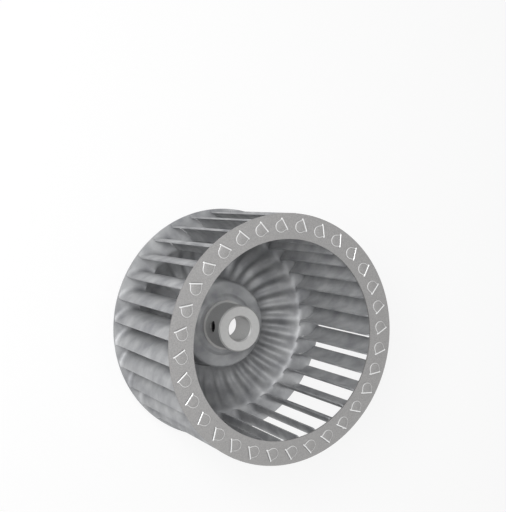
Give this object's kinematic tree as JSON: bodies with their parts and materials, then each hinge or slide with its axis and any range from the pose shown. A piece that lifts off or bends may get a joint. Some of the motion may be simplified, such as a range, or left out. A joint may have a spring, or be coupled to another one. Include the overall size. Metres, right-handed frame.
{
  "type": "blower_wheel",
  "caption": "Forward-curved single-inlet blower wheel with a folded-tab inlet ring, a fluted dished web and a staked hub with set screw for a 12.7 mm shaft.",
  "frame": {"origin": "bottom centre of the bounding box, on the shaft axis", "axes": "+Z is the shaft axis, out of the inlet; +X points at the set screw; the wheel stands on the bottom of its dished web"},
  "size_m": [0.1234, 0.1234, 0.0835],
  "materials": {
    "coated_steel": "satin aluminised sheet",
    "ring_steel": "matt aluminised sheet",
    "turned_steel": "turned",
    "black_steel": "blackened"
  },
  "bodies": {
    "root": {"wheel_body": "coated_steel", "inlet_ring": "ring_steel", "hub": "turned_steel", "set_screw": "black_steel"}
  },
  "joints": []
}
